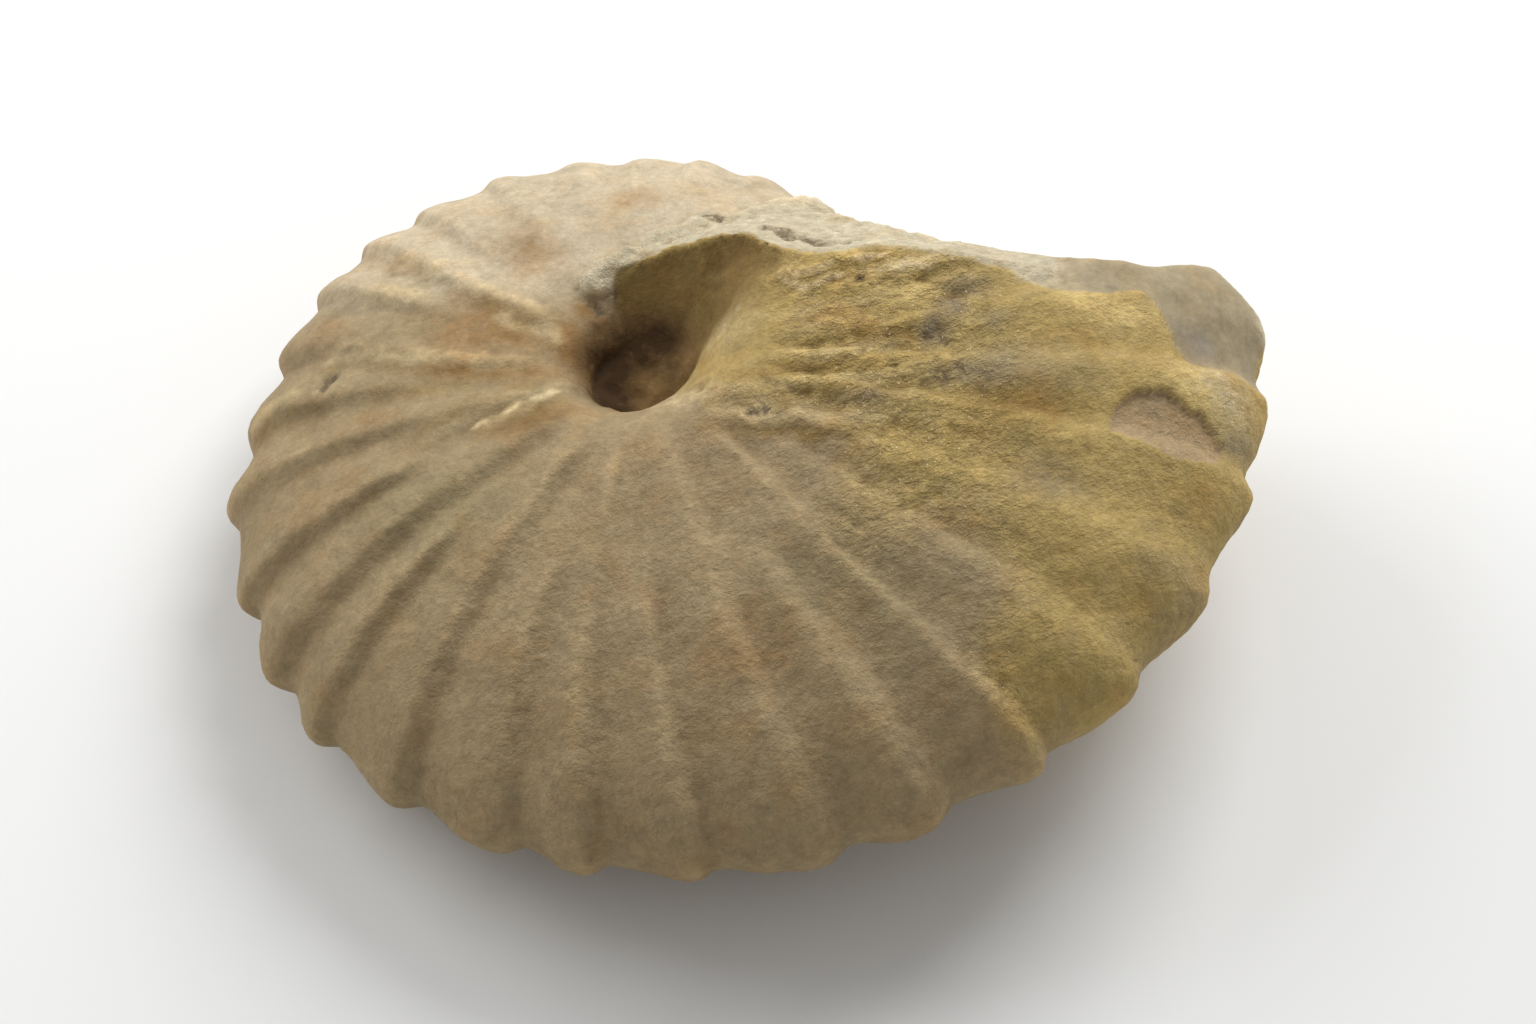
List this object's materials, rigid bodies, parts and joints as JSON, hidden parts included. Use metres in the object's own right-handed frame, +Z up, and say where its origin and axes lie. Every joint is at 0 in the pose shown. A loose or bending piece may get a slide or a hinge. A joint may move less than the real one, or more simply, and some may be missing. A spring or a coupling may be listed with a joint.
{
  "type": "fossil ammonite",
  "caption": "Ribbed, tightly coiled fossil shell of tan stone lying on its flank, with a small deep umbilicus and a broken last whorl.",
  "frame": {"origin": "middle of the fossil's bounding box, on the surface that it rests on", "axes": "+X from the coil's older side towards its broken aperture end, +Y towards the far side where the last whorl is broken off, +Z up out of the exposed flank"},
  "size_m": [0.0618, 0.052, 0.02],
  "materials": {
    "stone": "matte, gritty, golden tan with paler matrix"
  },
  "bodies": {
    "root": {"ammonite": "stone"}
  },
  "joints": []
}
